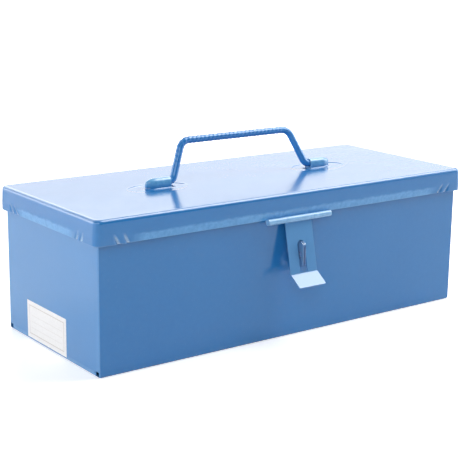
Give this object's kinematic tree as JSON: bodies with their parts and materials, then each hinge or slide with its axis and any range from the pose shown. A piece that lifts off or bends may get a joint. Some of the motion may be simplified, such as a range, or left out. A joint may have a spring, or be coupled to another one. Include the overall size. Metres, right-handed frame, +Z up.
{
  "type": "trunk tool box",
  "caption": "Small flat-top steel tool box with an overhanging hinged lid, a slotted hasp over a padlock staple, and a folding bar handle held in pressed lid sockets.",
  "frame": {"origin": "centre of the box's underside", "axes": "+X along the box to the right of someone facing the hasp, -Y out through the front wall that carries the hasp, +Z up through the lid"},
  "size_m": [0.3578, 0.171, 0.1514],
  "materials": {
    "blue_enamel": "gloss",
    "deep_blue_enamel": "gloss",
    "white_sticker": "satin"
  },
  "bodies": {
    "body": {"body_tub": "blue_enamel", "hasp_staple": "blue_enamel", "rear_hinge_body_leaf_left": "blue_enamel", "rear_hinge_body_leaf_right": "blue_enamel", "end_sticker": "white_sticker"},
    "lid": {"lid_pan": "blue_enamel", "rear_hinge_lid_leaf_left": "blue_enamel", "rear_hinge_lid_leaf_right": "blue_enamel", "rear_hinge_pin_left": "blue_enamel", "rear_hinge_pin_right": "blue_enamel", "handle_keeper_left": "blue_enamel", "handle_keeper_right": "blue_enamel", "hasp_lid_leaf": "blue_enamel", "hasp_pin": "blue_enamel"},
    "hasp": {"hasp_plate": "blue_enamel"},
    "handle": {"handle_bail": "deep_blue_enamel"}
  },
  "joints": [
    {"name": "lid_open", "type": "hinge", "parent": "body", "child": "lid", "pos_m": [0, 0.07495, 0.0956], "axis": [-1, 0, 0], "range_deg": [0, 105]},
    {"name": "hasp_swing", "type": "hinge", "parent": "lid", "child": "hasp", "pos_m": [0, -0.07495, 0.0956], "axis": [-1, 0, 0], "range_deg": [-12.5, 165]},
    {"name": "handle_fold", "type": "hinge", "parent": "lid", "child": "handle", "pos_m": [0, 0, 0.1193], "axis": [1, 0, 0], "range_deg": [-75, 105]}
  ]
}
